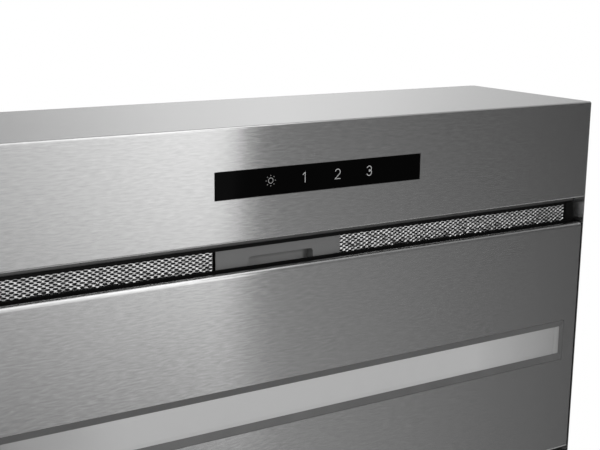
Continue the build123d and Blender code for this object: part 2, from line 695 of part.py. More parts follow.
fan_plane = Plane(origin=(0, FAN_Y, FAN_Z), x_dir=(0, 1, 0), z_dir=(1, 0, 0))
bracket_angles = (30.0, 150.0, 270.0)
foot_reach = 67.0
for side_name, side in (("left", -1), ("right", 1)):
    with BuildPart() as scroll_side:
        face = scroll_sketch(Plane.YZ.offset(side * SCROLL_HALF), SHEET, outlet_top)
        extrude(face.sketch, amount=side * SHEET)
        tab = sorted((side * (SCROLL_HALF + SHEET), side * (SCROLL_HALF + 14)))
        outlet_y = (FAN_Y + SCROLL_END - OUTLET_LENGTH, FAN_Y + SCROLL_END)
        block((tab[0], outlet_y[0], outlet_top - 1), (tab[1], outlet_y[1], outlet_top))
        with BuildSketch(fan_plane.offset(side * (SCROLL_HALF + SHEET))):
            Circle(BLADE_INNER + 3)
        extrude(amount=side * 5)
        with BuildSketch(fan_plane.offset(side * (SCROLL_HALF - 1))):
            Circle(BLADE_INNER + 2)
        extrude(amount=side * 10, mode=Mode.SUBTRACT)
    save(scroll_side, f"scroll_side_{side_name}")

with BuildPart() as fan_wheel:
    with BuildSketch(fan_plane.offset(-1.25)):
        Circle(BLADE_INNER + 4)
        Circle(12.0, mode=Mode.SUBTRACT)
        with PolarLocations(34.0, 6):
            Circle(7.0, mode=Mode.SUBTRACT)
    extrude(amount=2.5)
    with BuildSketch(fan_plane.offset(-FAN_HALF)):
        with PolarLocations(0.0, 40):
            with BuildLine():
                middle = (BLADE_INNER + FAN_RADIUS) / 2
                ThreePointArc((BLADE_INNER + 0.5, 0.0), (middle, 2.4), (FAN_RADIUS - 0.5, 7.5))
            trace(line_width=1.0)
    extrude(amount=2 * FAN_HALF)
    for low in (-FAN_HALF, FAN_HALF - 2.5):
        with BuildSketch(fan_plane.offset(low)):
            Circle(FAN_RADIUS + 0.6)
            Circle(BLADE_INNER, mode=Mode.SUBTRACT)
        extrude(amount=2.5)
save(fan_wheel, "fan_wheel")

with BuildPart() as fan_hub:
    with BuildSketch(fan_plane.offset(-1.25)):
        Circle(12.0)
        Circle(SHAFT_RADIUS, mode=Mode.SUBTRACT)
    extrude(amount=20.0)
    with BuildSketch(fan_plane.offset(1.25)):
        Circle(16.0)
        Circle(12.0, mode=Mode.SUBTRACT)
    extrude(amount=2.0)
save(fan_hub, "fan_hub")

with BuildPart() as motor_shaft:
    rod_x(FAN_Y, FAN_Z, SHAFT_RADIUS, MOTOR_FROM_X + 1.0, 22.0)
    chamfer(motor_shaft.edges().filter_by(GeomType.CIRCLE), length=0.6)
save(motor_shaft, "motor_shaft")

with BuildPart() as motor_rotor:
    with BuildSketch(fan_plane.offset(MOTOR_FROM_X + 16)):
        Circle(24.5)
        Circle(SHAFT_RADIUS, mode=Mode.SUBTRACT)
    extrude(amount=MOTOR_TO_X - MOTOR_FROM_X - 32)
save(motor_rotor, "motor_rotor")

with BuildPart() as motor_stator:
    with BuildSketch(fan_plane.offset(MOTOR_FROM_X + 14)):
        Circle(MOTOR_RADIUS - 1.6)
        Circle(25.0, mode=Mode.SUBTRACT)
        with PolarLocations(29.0, 12):
            Circle(2.6, mode=Mode.SUBTRACT)
    extrude(amount=MOTOR_TO_X - MOTOR_FROM_X - 28)
save(motor_stator, "motor_stator")

bush_radius = 9.0
bush_length = 8.0
with BuildPart() as motor_can:
    with BuildSketch(fan_plane.offset(MOTOR_FROM_X)):
        Circle(MOTOR_RADIUS)
    extrude(amount=MOTOR_TO_X - MOTOR_FROM_X)
    fillet(motor_can.edges().filter_by(GeomType.CIRCLE), radius=4.0)
    with BuildSketch(fan_plane.offset(MOTOR_FROM_X + 1.5)):
        Circle(MOTOR_RADIUS - 1.5)
    extrude(amount=MOTOR_TO_X - MOTOR_FROM_X - 3.0, mode=Mode.SUBTRACT)
    for low in (MOTOR_FROM_X + 1.0, MOTOR_TO_X - 1.0 - bush_length):
        with BuildSketch(fan_plane.offset(low)):
            Circle(bush_radius + 2.0)
        extrude(amount=bush_length)
    with BuildSketch(fan_plane.offset(MOTOR_FROM_X)):
        Circle(bush_radius)
    extrude(amount=MOTOR_TO_X - MOTOR_FROM_X, mode=Mode.SUBTRACT)
save(motor_can, "motor_can")

with BuildPart() as motor_bushes:
    for low in (MOTOR_FROM_X, MOTOR_TO_X - bush_length):
        with BuildSketch(fan_plane.offset(low)):
            Circle(bush_radius)
            Circle(SHAFT_RADIUS + RUNNING_GAP, mode=Mode.SUBTRACT)
        extrude(amount=bush_length)
save(motor_bushes, "motor_bushes")

bracket_x = -SCROLL_HALF - SHEET - 12.0
with BuildPart() as motor_bracket:
    with BuildSketch(fan_plane.offset(bracket_x)):
        Circle(MOTOR_RADIUS + 2.0)
        for angle in bracket_angles:
            with Locations(Location((0, 0, 0), (0, 0, angle))):
                with Locations((MOTOR_RADIUS + 14.0, 0)):
                    Rectangle(28.0, 14.0)
        Circle(MOTOR_RADIUS, mode=Mode.SUBTRACT)
    extrude(amount=2.0)
    with BuildSketch(fan_plane.offset(bracket_x)):
        Circle(MOTOR_RADIUS + 2.0)
        Circle(MOTOR_RADIUS, mode=Mode.SUBTRACT)
    extrude(amount=8.0)
    with BuildSketch(fan_plane.offset(bracket_x)):
        for angle in bracket_angles:
            with Locations(Location((0, 0, 0), (0, 0, angle))):
                with Locations((foot_reach + 2.0, 0)):
                    Rectangle(2.0, 14.0)
    extrude(amount=12.0)
    with BuildSketch(fan_plane.offset(bracket_x + 10.5)):
        for angle in bracket_angles:
            with Locations(Location((0, 0, 0), (0, 0, angle))):
                with Locations((foot_reach - 2.5, 0)):
                    Rectangle(11.0, 14.0)
        Circle(BLADE_INNER + 4.0, mode=Mode.SUBTRACT)
    extrude(amount=1.5)
save(motor_bracket, "motor_bracket")

with BuildPart() as motor_bolts:
    with BuildSketch(fan_plane.offset(bracket_x + 8.3)):
        with PolarLocations(foot_reach - 4.0, 3, start_angle=bracket_angles[0]):
            RegularPolygon(3.0, 6, major_radius=False)
    extrude(amount=2.2)
save(motor_bolts, "motor_bolts")

blower_bolt_points = [(s * (SCROLL_HALF + 8), y) for s in (-1, 1) for y in (100.0, 145.0)]
with BuildPart() as blower_bolts:
    for x, y in blower_bolt_points:
        with BuildSketch(Plane.XY.offset(outlet_top - 4.0)):
            with Locations((x, y)):
                RegularPolygon(4.0, 6, major_radius=False)
        extrude(amount=3.0)
save(blower_bolts, "blower_bolts")

# Duct spigot and damper ---------------------------------------------------------------------------
duct_x, duct_y = DUCT_CENTRE
spigot_screw_points = [(duct_x + x, duct_y + y) for x in (-80.0, 80.0) for y in (-80.0, 80.0)]
with BuildPart() as duct_spigot:
    with BuildSketch(Plane.XY):
        with Locations(DUCT_CENTRE):
            RectangleRounded(176.0, 176.0, 8.0)
    extrude(amount=SHEET)
    rod_z(duct_x, duct_y, DUCT_RADIUS, 0, DUCT_HEIGHT)
    rod_z(duct_x, duct_y, DUCT_RADIUS - SHEET, 0, DUCT_HEIGHT, Mode.SUBTRACT)
    with BuildSketch(Plane.XY.offset(FLAP_Z - 1.8)):
        with Locations(DUCT_CENTRE):
            Circle(DUCT_RADIUS - SHEET / 2)
            Circle(FLAP_RADIUS - 1.5, mode=Mode.SUBTRACT)
            Rectangle(160.0, 30.0, mode=Mode.SUBTRACT)
    extrude(amount=1.0)
    for sign in (-1, 1):
        pin_y = duct_y + sign * FLAP_PIN_OFFSET
        rod_x(pin_y, FLAP_Z, FLAP_PIN_RADIUS, -DUCT_RADIUS, DUCT_RADIUS, Mode.SUBTRACT)
    for x, y in spigot_screw_points:
        rod_z(x, y, 1.8, -1, 2, Mode.SUBTRACT)
save(duct_spigot, "duct_spigot")

with BuildPart() as spigot_screws:
    for x, y in spigot_screw_points:
        rod_z(x, y, 1.75, 0.0, SHEET)
        rod_z(x, y, 3.5, SHEET, SHEET + 2.0)
    fillet(spigot_screws.faces().sort_by(Axis.Z)[-1].edges(), radius=0.8)
save(spigot_screws, "spigot_screws")

pin_half = DUCT_RADIUS - 0.8
with BuildPart() as damper_pins:
    for sign in (-1, 1):
        rod_x(duct_y + sign * FLAP_PIN_OFFSET, FLAP_Z, FLAP_PIN_RADIUS, -pin_half, pin_half)
save(damper_pins, "damper_pins")

FLAP_THICK = 0.8
BARREL_RADIUS = 2.6
BARREL_HALF = 58.0
for name, sign in (("damper_flap_front", -1), ("damper_flap_rear", 1)):
    pin_y = duct_y + sign * FLAP_PIN_OFFSET
    with BuildPart() as damper_flap:
        with BuildSketch(Plane.XY.offset(FLAP_Z - FLAP_THICK / 2)):
            with Locations(DUCT_CENTRE):
                Circle(FLAP_RADIUS)
            keep_y = sorted((pin_y + sign * 1.0, duct_y + sign * 80.0))
            with Locations((duct_x, (keep_y[0] + keep_y[1]) / 2)):
                Rectangle(170.0, keep_y[1] - keep_y[0], mode=Mode.INTERSECT)
            with Locations((duct_x - 70.0, pin_y), (duct_x + 70.0, pin_y)):
                Rectangle(20.0, 9.0, mode=Mode.SUBTRACT)
        extrude(amount=FLAP_THICK)
        rod_x(pin_y, FLAP_Z, BARREL_RADIUS, -BARREL_HALF, BARREL_HALF)
        rod_x(pin_y, FLAP_Z, FLAP_PIN_RADIUS + RUNNING_GAP, -80, 80, Mode.SUBTRACT)
    save(damper_flap, name)

# Wiring compartment ---------------------------------------------------------------------------------
box_floor_z = -SHEET - BOX_HEIGHT
with BuildPart() as control_box:
    block((BOX_LOW[0], BOX_LOW[1], box_floor_z), (BOX_HIGH[0], BOX_HIGH[1], -SHEET - 0.05))
    block(
        (BOX_LOW[0] + SHEET, BOX_LOW[1] - 1, box_floor_z + SHEET),
        (BOX_HIGH[0] - SHEET, BOX_HIGH[1] - SHEET, 0.0),
        Mode.SUBTRACT,
    )
save(control_box, "control_box")

with BuildPart() as control_box_cover:
    block(
        (BOX_LOW[0], BOX_LOW[1] - SHEET, box_floor_z),
        (BOX_HIGH[0], BOX_LOW[1], -SHEET - 0.05),
    )
    for x in (BOX_LOW[0] + 12, BOX_HIGH[0] - 12):
        with BuildSketch(Plane.XZ.offset(-BOX_LOW[1] + SHEET)):
            with Locations((x, box_floor_z / 2)):
                Circle(3.0)
        extrude(amount=1.8)
save(control_box_cover, "control_box_cover")

with BuildPart() as power_board:
    board_low = box_floor_z + SHEET + 5.0
    board_top = board_low + 1.6
    board_x, board_y = BOX_LOW[0] + 8.0, BOX_LOW[1] + 8.0
    block((board_x, board_y, board_low), (board_x + 76.0, board_y + 75.0, board_top))
    for relay_x in (board_x + 4.0, board_x + 30.0):
        block((relay_x, board_y + 5.0, board_top), (relay_x + 20.0, board_y + 21.0, board_top + 16.0))
    block((board_x + 4.0, board_y + 33.0, board_top), (board_x + 36.0, board_y + 63.0, board_top + 20.0))
    rod_z(board_x + 56.0, board_y + 47.0, 7.0, board_top, board_top + 18.0)
    for foot_x in (board_x + 4.0, board_x + 72.0):
        for foot_y in (board_y + 4.0, board_y + 71.0):
            rod_z(foot_x, foot_y, 2.0, box_floor_z + SHEET, board_low)
save(power_board, "power_board")

driver_floor = box_floor_z + SHEET
driver_x = BOX_HIGH[0] - 56.0
driver_y = BOX_LOW[1] + 9.0
with BuildPart() as led_driver:
    block((driver_x, driver_y, driver_floor), (driver_x + 46.0, driver_y + 70.0, driver_floor + 22.0))
    fillet(led_driver.edges().filter_by(Axis.Z), radius=3.0)
save(led_driver, "led_driver")

with BuildPart() as terminal_block:
    strip_z = driver_floor + 32.0
    strip_y = driver_y + 6.0
    block((driver_x + 2.0, strip_y, strip_z), (driver_x + 42.0, strip_y + 18.0, strip_z + 12.0))
    with Locations((driver_x + 22.0, strip_y + 9.0, strip_z + 12.0)):
        with GridLocations(10.0, 9.0, 4, 2):
            Cylinder(2.6, 3.0, mode=Mode.SUBTRACT)
    block((driver_x, strip_y + 6.0, driver_floor + 22.0), (driver_x + 44.0, strip_y + 12.0, strip_z))
save(terminal_block, "terminal_block")

with BuildPart() as motor_capacitor:
    with BuildSketch(Plane.YZ.offset(90.0)):
        with Locations((180.0, -24.0)):
            Circle(17.0)
    extrude(amount=68.0)
    fillet(motor_capacitor.edges().filter_by(GeomType.CIRCLE), radius=2.0)
    for y in (174.0, 186.0):
        block((158.0, y - 0.4, -27.0), (167.0, y + 0.4, -21.0))
save(motor_capacitor, "motor_capacitor")

with BuildPart() as capacitor_clip:
    with BuildSketch(Plane.YZ.offset(118.0)):
        with Locations((180.0, -24.0)):
            Circle(18.0)
        with Locations((180.0, -12.0)):
            Rectangle(36.0, 21.9)
        with Locations((180.0, -24.0)):
            Circle(17.0, mode=Mode.SUBTRACT)
        with Locations((180.0, -12.0)):
            Rectangle(33.0, 30.0, mode=Mode.SUBTRACT)
        for sign in (-1, 1):
            with Locations((180.0 + sign * 23.0, -1.55)):
                Rectangle(13.0, 1.0)
    extrude(amount=14.0)
save(capacitor_clip, "capacitor_clip")

with BuildPart() as cable_bushing:
    rod_z(*INLET_CENTRE, INLET_RADIUS - 0.05, -8.0, 0.0)
    rod_z(*INLET_CENTRE, INLET_RADIUS + 2.4, 0.0, 1.6)
    fillet(cable_bushing.edges().filter_by(GeomType.CIRCLE).sort_by(Axis.Z)[-1], radius=0.8)
    rod_z(*INLET_CENTRE, 9.0, -9.0, 3.0, Mode.SUBTRACT)
save(cable_bushing, "cable_bushing")
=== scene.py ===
"""Looks of the under cabinet range hood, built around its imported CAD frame. Metres, Z up."""

import json
import math
import random

import bpy
from mathutils import Matrix, Vector


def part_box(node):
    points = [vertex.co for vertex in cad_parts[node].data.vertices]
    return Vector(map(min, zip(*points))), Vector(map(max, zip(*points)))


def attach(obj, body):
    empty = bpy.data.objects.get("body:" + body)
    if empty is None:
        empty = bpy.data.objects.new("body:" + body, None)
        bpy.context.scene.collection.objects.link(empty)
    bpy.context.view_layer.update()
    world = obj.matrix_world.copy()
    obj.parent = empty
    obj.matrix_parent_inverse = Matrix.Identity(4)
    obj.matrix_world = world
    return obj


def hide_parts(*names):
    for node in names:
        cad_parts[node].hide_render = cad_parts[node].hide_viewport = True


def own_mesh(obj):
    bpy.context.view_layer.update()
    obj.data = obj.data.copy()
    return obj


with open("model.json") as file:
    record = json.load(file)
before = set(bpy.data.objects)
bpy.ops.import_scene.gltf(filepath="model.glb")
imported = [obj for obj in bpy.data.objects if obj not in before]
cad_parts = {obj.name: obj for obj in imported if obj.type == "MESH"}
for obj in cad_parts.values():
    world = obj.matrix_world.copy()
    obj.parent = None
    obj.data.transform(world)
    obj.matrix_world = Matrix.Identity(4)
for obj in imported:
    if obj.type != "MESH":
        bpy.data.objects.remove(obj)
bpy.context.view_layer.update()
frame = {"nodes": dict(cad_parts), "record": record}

MM = 0.001
scene = bpy.context.scene
scene.view_settings.view_transform = "Standard"

# Places read from the CAD -------------------------------------------------------------------------
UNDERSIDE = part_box("front_wrap")[0][2]
glass_low, glass_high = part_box("touch_glass")
handle_low, handle_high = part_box("handle_plate")
mesh_low, mesh_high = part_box("filter_mesh_lower")
lens_low, lens_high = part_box("light_diffuser")
spring_low, spring_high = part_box("latch_springs")


# Materials ----------------------------------------------------------------------------------------
def grey(value):
    return (value, value, value, 1.0)


def scaled(colour, factor):
    """Colour times a factor, no part above 1."""
    return [min(1.0, part * factor) for part in colour[:3]] + [1.0]


class Surface:
    """A principled material with short ways to add texture nodes to it."""

    def __init__(self, name, colour, metallic=0.0, roughness=0.5, **sockets):
        self.material = bpy.data.materials.new(name)
        self.material.use_nodes = True
        self.tree = self.material.node_tree
        self.tree.nodes.clear()
        output = self.tree.nodes.new("ShaderNodeOutputMaterial")
        self.shader = self.tree.nodes.new("ShaderNodeBsdfPrincipled")
        self.tree.links.new(self.shader.outputs[0], output.inputs["Surface"])
        self.set("Base Color", colour)
        self.set("Metallic", metallic)
        self.set("Roughness", roughness)
        for socket, value in sockets.items():
            self.set(socket.replace("_", " "), value)
        self.place = self.node("ShaderNodeTexCoord").outputs["Object"]

    def set(self, socket, value):
        if isinstance(value, bpy.types.NodeSocket):
            self.tree.links.new(value, self.shader.inputs[socket])
        else:
            self.shader.inputs[socket].default_value = value

    def node(self, kind, inputs=None, **settings):
        made = self.tree.nodes.new(kind)
        for key, value in settings.items():
            setattr(made, key, value)
        for key, value in (inputs or {}).items():
            if isinstance(value, bpy.types.NodeSocket):
                self.tree.links.new(value, made.inputs[key])
            else:
                made.inputs[key].default_value = value
        return made

    def noise(self, scale, detail=2.0, rough=0.5, stretch=(1.0, 1.0, 1.0)):
        """Noise between 0 and 1. Scale is features per metre, stretch multiplies it along each axis."""
        spread = self.node(
            "ShaderNodeMapping", {"Vector": self.place, "Scale": [scale * s for s in stretch]}
        )
        made = self.node(
            "ShaderNodeTexNoise",
            {"Vector": spread.outputs[0], "Scale": 1.0, "Detail": detail, "Roughness": rough},
        )
        return made.outputs["Fac"]

    def cells(self, scale, output="Distance", feature="F1"):
        """Voronoi cells, scale is cells per metre."""
        made = self.node(
            "ShaderNodeTexVoronoi", {"Vector": self.place, "Scale": scale}, feature=feature
        )
        return made.outputs[output]

    def span(self, value, low, high, start=0.0, end=1.0):
        """Value going from start to end, mapped to go from low to high."""
        made = self.node(
            "ShaderNodeMapRange",
            {"Value": value, "From Min": start, "From Max": end, "To Min": low, "To Max": high},
        )
        return made.outputs["Result"]

    def maths(self, operation, first, second=0.5):
        made = self.node("ShaderNodeMath", operation=operation)
        for socket, value in zip(made.inputs, (first, second)):
            if isinstance(value, bpy.types.NodeSocket):
                self.tree.links.new(value, socket)
            else:
                socket.default_value = value
        return made.outputs[0]

    def weighted(self, *pairs):
        """Sum of values times their weights, given as (value, weight) pairs."""
        total = None
        for value, weight in pairs:
            share = self.maths("MULTIPLY", value, weight)
            total = share if total is None else self.maths("ADD", total, share)
        return total

    def tint(self, value, dark, light):
        """Colour between dark and light, as value goes from 0 to 1."""
        made = self.node("ShaderNodeMix", data_type="RGBA")
        self.tree.links.new(value, made.inputs["Factor"])
        made.inputs[6].default_value = dark
        made.inputs[7].default_value = light
        return made.outputs[2]

    def bump(self, height, distance, strength):
        made = self.node(
            "ShaderNodeBump", {"Height": height, "Distance": distance, "Strength": strength}
        )
        self.set("Normal", made.outputs[0])


def brushed_steel(name, value, along="X", roughness=(0.17, 0.21)):
    """Stainless sheet with a fine grain along one axis: its gloss spreads across the grain."""
    surface = Surface(name, grey(value), metallic=1.0, Anisotropic=1.0, Anisotropic_Rotation=0.25)
    grain = surface.noise(1500.0, 2.0, 0.5, [0.05 if axis == along else 1.0 for axis in "XYZ"])
    streak = surface.noise(560.0, 2.0, 0.5, [0.17 if axis == along else 1.0 for axis in "XYZ"])
    patch = surface.noise(6.0, 3.0, 0.55)
    mixed = surface.weighted((grain, 0.3), (streak, 0.6), (patch, 0.1))
    tone = surface.span(mixed, 0.0, 1.0, 0.34, 0.66)
    surface.set("Base Color", surface.tint(tone, grey(value * 0.90), grey(value * 1.10)))
    surface.set("Roughness", surface.span(mixed, roughness[0], roughness[1], 0.35, 0.65))
    axis = surface.node("ShaderNodeCombineXYZ", {along: 1.0})
    surface.set("Tangent", axis.outputs[0])
    surface.bump(streak, 0.0012 * MM, 1.0)
    return surface.material


def galvanised_steel(name):
    surface = Surface(name, grey(0.5), metallic=0.9)
    spangle = surface.cells(90.0, "Color")
    level = surface.node("ShaderNodeRGBToBW", {"Color": spangle}).outputs[0]
    dust = surface.noise(600.0, 3.0)
    mixed = surface.weighted((level, 0.7), (dust, 0.3))
    surface.set("Base Color", surface.tint(mixed, grey(0.36), grey(0.62)))
    surface.set("Roughness", surface.span(mixed, 0.34, 0.52))
    surface.bump(dust, 0.02 * MM, 0.4)
    return surface.material


def plain_metal(name, value, roughness=0.3, grain=900.0, bump=0.01):
    """Metal with fine tool marks and slight patches."""
    surface = Surface(name, value, metallic=1.0)
    marks = surface.noise(grain, 3.0, 0.6)
    patch = surface.noise(60.0, 2.0)
    mixed = surface.weighted((marks, 0.5), (patch, 0.5))
    tone = surface.span(mixed, 0.0, 1.0, 0.3, 0.7)
    surface.set("Base Color", surface.tint(tone, scaled(value, 0.8), scaled(value, 1.15)))
    surface.set("Roughness", surface.span(mixed, roughness * 0.8, roughness * 1.25, 0.3, 0.7))
    surface.bump(marks, bump * MM, 0.6)
    return surface.material


def coating(name, value, roughness=0.45, grain=1400.0, bump=0.03, mottle=0.12, **sockets):
    """Paint, powder coat or moulded plastic with its fine orange peel."""
    surface = Surface(name, value, roughness=roughness, **sockets)
    peel = surface.noise(grain, 2.0, 0.5)
    patch = surface.noise(35.0, 3.0)
    mixed = surface.weighted((peel, 0.4), (patch, 0.6))
    tone = surface.span(mixed, 0.0, 1.0, 0.3, 0.7)
    dark, light = scaled(value, 1.0 - mottle), scaled(value, 1.0 + mottle)
    surface.set("Base Color", surface.tint(tone, dark, light))
    surface.set("Roughness", surface.span(mixed, roughness * 0.85, roughness * 1.15, 0.3, 0.7))
    surface.bump(peel, bump * MM, 0.7)
    return surface.material


def black_glass(name):
    surface = Surface(name, grey(0.002), roughness=0.05, Specular_IOR_Level=0.03)
    smear = surface.noise(14.0, 4.0, 0.6, (0.4, 1.0, 1.0))
    surface.set("Base Color", surface.tint(smear, grey(0.0015), grey(0.0025)))
    surface.set("Roughness", surface.span(smear, 0.03, 0.12, 0.35, 0.7))
    return surface.material


def mesh_sheet_in_painted_shade(name, dark, light, pitch):
    """Inner filter layer: the pattern of a fine expanded sheet, wires over open cells, both kept dark
    as painted shade between the filter's layers.
    """
    surface = Surface(name, grey(light), metallic=0.8, roughness=0.5)
    wires = surface.cells(1.0 / pitch, "Distance", "DISTANCE_TO_EDGE")
    covered = surface.span(wires, 1.0, 0.0, 0.05, 0.16)
    dust = surface.noise(400.0, 2.0)
    level = surface.maths("MULTIPLY", covered, surface.span(dust, 0.7, 1.0))
    surface.set("Base Color", surface.tint(level, grey(dark), grey(light)))
    surface.bump(covered, 0.3 * MM, 0.8)
    return surface.material


def handle_coat_with_painted_pocket_light(name, face, pocket):
    """Grey coat of the handle plate with painted light: paler in its finger pocket, with painted shade
    left by the pocket's front and right walls.
    """
    surface = Surface(name, grey(face), roughness=0.42)
    split = surface.node("ShaderNodeSeparateXYZ", {"Vector": surface.place}).outputs
    # Painted light: the pocket turns pale between these heights over the plate's lowest point, and
    # between these distances from its front and right edges; painted shade stays by those walls
    rise = (2.0 * MM, 6.0 * MM)
    front = (12.5 * MM, 16.5 * MM)
    right = (36.0 * MM, 41.0 * MM)
    painted_light_by_height = surface.span(split["Z"], 0.0, 1.0, handle_low[2] + rise[0], handle_low[2] + rise[1])
    painted_light_off_front = surface.span(split["Y"], 0.0, 1.0, handle_low[1] + front[0], handle_low[1] + front[1])
    painted_light_off_right = surface.span(split["X"], 1.0, 0.0, handle_high[0] - right[1], handle_high[0] - right[0])
    painted_pocket_light = surface.maths("MULTIPLY", painted_light_by_height, surface.maths("MULTIPLY", painted_light_off_front, painted_light_off_right))
    peel = surface.noise(1400.0, 2.0)
    patch = surface.noise(35.0, 3.0)
    shade = surface.maths("ADD", painted_pocket_light, surface.span(patch, -0.06, 0.06, 0.3, 0.7))
    surface.set("Base Color", surface.tint(shade, grey(face), grey(pocket)))
    surface.set("Roughness", surface.span(peel, 0.36, 0.48, 0.3, 0.7))
    surface.bump(peel, 0.02 * MM, 0.7)
    return surface.material


def lens_plastic_with_painted_end_shade(name, middle, ends, fade_from, fade_to):
    """Opal plastic of the light bar, greyer towards both ends with painted shade."""
    surface = Surface(name, grey(middle), roughness=0.35)
    split = surface.node("ShaderNodeSeparateXYZ", {"Vector": surface.place})
    reach = surface.maths("ABSOLUTE", split.outputs["X"])
    painted_end_shade = surface.span(reach, 0.0, 1.0, fade_from, fade_to)
    cloud = surface.noise(25.0, 2.0)
    tone = surface.maths("ADD", painted_end_shade, surface.span(cloud, -0.04, 0.04, 0.3, 0.7))
    surface.set("Base Color", surface.tint(tone, grey(middle), grey(ends)))
    peel = surface.noise(1800.0, 2.0)
    surface.set("Roughness", surface.span(peel, 0.30, 0.42, 0.3, 0.7))
    surface.bump(peel, 0.008 * MM, 0.6)
    return surface.material


def circuit_board(name):
    surface = Surface(name, (0.02, 0.10, 0.05, 1.0), roughness=0.4)
    tracks = surface.cells(260.0, "Distance", "DISTANCE_TO_EDGE")
    line = surface.span(tracks, 1.0, 0.0, 0.04, 0.09)
    mask = surface.noise(50.0, 2.0)
    surface.set("Base Color", surface.tint(line, (0.014, 0.075, 0.04, 1.0), (0.03, 0.16, 0.08, 1.0)))
    surface.set("Roughness", surface.span(mask, 0.3, 0.5))
    surface.bump(line, 0.03 * MM, 0.7)
    return surface.material


def lit_symbol(name, value):
    """Pale print of the touch symbols, faintly backlit."""
    surface = Surface(name, grey(value), roughness=0.35)
    speckle = surface.noise(2500.0, 2.0)
    surface.set("Base Color", surface.tint(speckle, grey(value * 0.85), grey(value * 1.1)))
    surface.set("Emission Color", grey(value))
    surface.set("Emission Strength", 0.7)
    return surface.material


STEEL = 0.60
materials = {
    "brushed_steel": brushed_steel("brushed_steel", STEEL),
    "side_steel": brushed_steel("side_steel", STEEL, along="Y"),
    "galvanised_steel": galvanised_steel("galvanised_steel"),
    # Painted shade: the steel rails in the slot are made dark grey for the shadow they lie in
    "dark_rail_steel": plain_metal("dark_rail_steel", grey(0.15), 0.5, bump=0.02),
    # Painted shade: this black coat stands in for the shadow seen in the slot above the suction panel's
    # front edge
    "black_steel": coating("black_steel", grey(0.006), 0.5, Specular_IOR_Level=0.12),
    "black_glass": black_glass("black_glass"),
    "black_plastic": coating("black_plastic", grey(0.02), 0.55),
    "circuit_board": circuit_board("circuit_board"),
    "filter_mesh": plain_metal("filter_mesh", grey(0.95), 0.30, grain=3000.0),
    # Painted shade: the aluminium inner layers get dark tones for the shadow between the filter's
    # layers
    "filter_core_painted_dark": mesh_sheet_in_painted_shade("filter_core_painted_dark", 0.01, 0.12, 2.4 * MM),
    # 0.26 is the plate's own grey, 0.50 the painted light in its finger pocket
    "handle_grey": handle_coat_with_painted_pocket_light("handle_grey", 0.26, 0.50),
    "white_plastic": coating("white_plastic", grey(0.74), 0.35, bump=0.01, mottle=0.03),
    # Painted shade: the lens goes from its own 0.71 to 0.37 at both ends
    "lens_white": lens_plastic_with_painted_end_shade("lens_white", 0.71, 0.37, 0.22, 0.37),
    # The bezel's grey is darkened as painted shade of the bevelled recess round the lens
    "bezel_grey": coating("bezel_grey", grey(0.14), 0.4, bump=0.01),
    "aluminium_sheet": plain_metal("aluminium_sheet", grey(0.68), 0.32),
    "zinc_screws": plain_metal("zinc_screws", (0.55, 0.54, 0.50, 1.0), 0.3),
    "bright_steel": plain_metal("bright_steel", grey(0.66), 0.2),
    "fan_black": coating("fan_black", grey(0.025), 0.4),
    "motor_steel": plain_metal("motor_steel", grey(0.42), 0.4),
    "bronze": plain_metal("bronze", (0.50, 0.30, 0.13, 1.0), 0.35),
    "rubber_black": coating("rubber_black", grey(0.02), 0.75, bump=0.05),
    "lit_symbol": lit_symbol("lit_symbol", 0.30),
}


def finish_of(node, slot):
    """Material of a CAD node: its slot's, save where one slot has more than one look."""
    if node.startswith("side_panel"):
        return "side_steel"
    if node in ("filter_mesh_core", "filter_mesh_upper"):
        return "filter_core_painted_dark"
    return slot


for part in frame["record"]["subparts"]:
    node = frame["nodes"][part["node"]]
    material = materials[finish_of(part["node"], part["material_slot"])]
    if not node.material_slots:
        node.data.materials.append(None)
    for holder in node.material_slots:
        holder.link = "OBJECT"
        holder.material = material


# Meshes -------------------------------------------------------------------------------------------
def plan_of(low, high):
    """Centre and size of a box in X and Y."""
    centre = ((low[0] + high[0]) / 2, (low[1] + high[1]) / 2)
    size = (high[0] - low[0], high[1] - low[1])
    return centre, size


def add_mesh(name, points, faces, material, smooth=False):
    mesh = bpy.data.meshes.new(name)
    mesh.from_pydata(points, [], faces)
    mesh.materials.append(materials[material])
    if smooth:
        mesh.shade_smooth()
    obj = bpy.data.objects.new(name, mesh)
    scene.collection.objects.link(obj)
    return obj


def rounded_outline(half_x, half_y, corner, steps=5):
    """Points of a rounded rectangle about the origin, anticlockwise."""
    points = []
    for quarter, (sx, sy) in enumerate(((1, 1), (-1, 1), (-1, -1), (1, -1))):
        centre = (sx * (half_x - corner), sy * (half_y - corner))
        for step in range(steps + 1):
            angle = math.radians(90.0 * (quarter + step / steps))
            points.append((centre[0] + corner * math.cos(angle), centre[1] + corner * math.sin(angle)))
    return points


LEAST_CORNER = 0.05 * MM


def layered_plate(centre, size, corner, layers):
    """Points and faces of a closed plate made of rounded outlines: layers are (inset, z), rising."""
    points, faces = [], []
    for inset, z in layers:
        rounding = max(corner - inset, LEAST_CORNER)
        outline = rounded_outline(size[0] / 2 - inset, size[1] / 2 - inset, rounding)
        count = len(outline)
        points += [(centre[0] + x, centre[1] + y, z) for x, y in outline]
    for layer in range(len(layers) - 1):
        base = layer * count
        for i in range(count):
            j = (i + 1) % count
            faces.append((base + i, base + j, base + count + j, base + count + i))
    faces.append(tuple(reversed(range(count))))
    last = (len(layers) - 1) * count
    faces.append(tuple(range(last, last + count)))
    return points, faces


def join_parts(parts):
    """One list of points and one of faces from many separate closed parts."""
    points, faces = [], []
    for part_points, part_faces in parts:
        base = len(points)
        points += part_points
        faces += [tuple(base + i for i in face) for face in part_faces]
    return points, faces


# Touch glass and its symbols ----------------------------------------------------------------------
glass_centre, glass_size = plan_of(glass_low, glass_high)
GLASS_CORNER = 1.0 * MM
GLASS_RECESS = 0.12 * MM      # glass face above the underside of the hood
